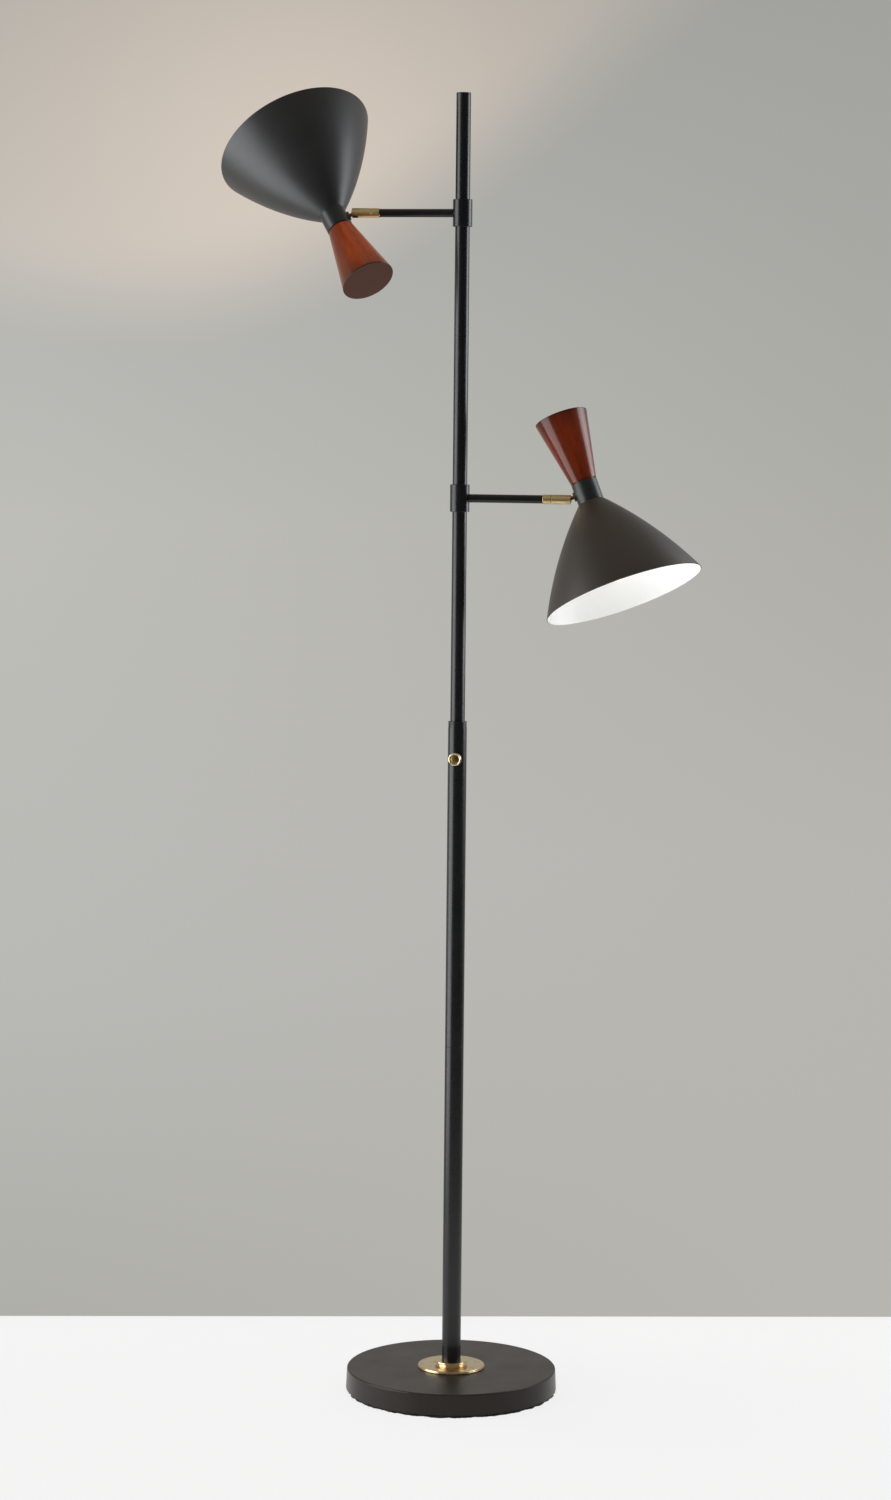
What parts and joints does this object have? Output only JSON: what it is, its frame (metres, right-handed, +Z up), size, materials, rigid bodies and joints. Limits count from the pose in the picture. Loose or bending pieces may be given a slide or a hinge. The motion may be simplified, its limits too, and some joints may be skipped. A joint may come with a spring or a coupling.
{
  "type": "standing lamp",
  "caption": "Standing lamp with a weighted round base, a stepped black pole, cross arms, swivel heads with cone shades and wooden handles, and a knob switch on the pole.",
  "frame": {"origin": "centre of the underside of the base, on the pole axis, at floor level", "axes": "+Z up the pole, +X along the lower arm, -X along the upper arm, -Y towards the switch knob, +Y towards the cord inlet"},
  "size_m": [0.6585, 0.294, 1.7359],
  "materials": {
    "pad_felt": "black felt pad",
    "weight_iron": "rough cast iron",
    "base_black": "fine satin black enamel",
    "pole_black": "satin black enamel",
    "neck_black": "satin black enamel",
    "shade_black": "satin black outside, white inside",
    "brass": "satin antique brass",
    "knob_brass": "antique brass with a bright rim",
    "red_wood": "red-brown stain under satin lacquer",
    "zinc_steel": "zinc plated",
    "grommet_rubber": "matt",
    "lead_rubber": "matt wire covering",
    "switch_plastic": "moulded",
    "socket_plastic": "moulded phenolic",
    "shell_aluminium": "plain",
    "bulb_glass": "soft white"
  },
  "bodies": {
    "lamp": {"base_pad": "pad_felt", "base_weight": "weight_iron", "base_cover": "base_black", "base_rosette": "brass", "pole_flange": "brass", "tie_pipe": "zinc_steel", "tie_washer": "zinc_steel", "tie_nut": "zinc_steel", "foot_plug": "zinc_steel", "cord_grommet": "grommet_rubber", "lower_tube": "pole_black", "tube_joint": "pole_black", "middle_tube": "pole_black", "step_piece": "pole_black", "upper_tube": "pole_black", "top_cap": "pole_black", "switch_body": "switch_plastic", "switch_nut": "brass", "arm_nipples": "zinc_steel", "head_leads": "lead_rubber", "swivel_pins": "zinc_steel", "upper_collar": "pole_black", "upper_arm": "pole_black", "upper_swivel_ring": "brass", "lower_collar": "pole_black", "lower_arm": "pole_black", "lower_swivel_ring": "brass"},
    "knob": {"switch_shaft": "zinc_steel", "switch_knob": "knob_brass"},
    "upper_barrel": {"upper_swivel_barrel": "brass", "upper_ball_spring": "zinc_steel"},
    "upper_head": {"upper_ball_and_stem": "brass", "upper_stem_washer": "brass", "upper_stem_nut": "zinc_steel", "upper_neck": "neck_black", "upper_shade": "shade_black", "upper_shade_ring": "socket_plastic", "upper_handle": "red_wood", "upper_handle_rod": "zinc_steel", "upper_lamp_socket": "socket_plastic", "upper_socket_screw_shell": "shell_aluminium", "upper_socket_contact": "brass", "upper_bulb_cap": "shell_aluminium", "upper_bulb_glass": "bulb_glass"},
    "lower_barrel": {"lower_swivel_barrel": "brass", "lower_ball_spring": "zinc_steel"},
    "lower_head": {"lower_ball_and_stem": "brass", "lower_stem_washer": "brass", "lower_stem_nut": "zinc_steel", "lower_neck": "neck_black", "lower_shade": "shade_black", "lower_shade_ring": "socket_plastic", "lower_handle": "red_wood", "lower_handle_rod": "zinc_steel", "lower_lamp_socket": "socket_plastic", "lower_socket_screw_shell": "shell_aluminium", "lower_socket_contact": "brass", "lower_bulb_cap": "shell_aluminium", "lower_bulb_glass": "bulb_glass"}
  },
  "joints": [
    {"name": "knob_turn", "type": "hinge", "parent": "lamp", "child": "knob", "pos_m": [0, -0.0185, 0.843], "axis": [0, -1, 0], "continuous": true},
    {"name": "upper_barrel_turn", "type": "hinge", "parent": "lamp", "child": "upper_barrel", "pos_m": [-0.1248, 0, 1.568], "axis": [-1, 0, 0], "range_deg": [-196, 134]},
    {"name": "upper_head_tilt", "type": "hinge", "parent": "upper_barrel", "child": "upper_head", "pos_m": [-0.145, 0, 1.568], "axis": [0, -0.8572, 0.515], "range_deg": [-29.5, 48.5]},
    {"name": "lower_barrel_turn", "type": "hinge", "parent": "lamp", "child": "lower_barrel", "pos_m": [0.1248, 0, 1.189], "axis": [1, 0, 0], "range_deg": [-153, 177]},
    {"name": "lower_head_tilt", "type": "hinge", "parent": "lower_barrel", "child": "lower_head", "pos_m": [0.145, 0, 1.189], "axis": [0, -0.9781, 0.2079], "range_deg": [-21.5, 56.5]}
  ]
}
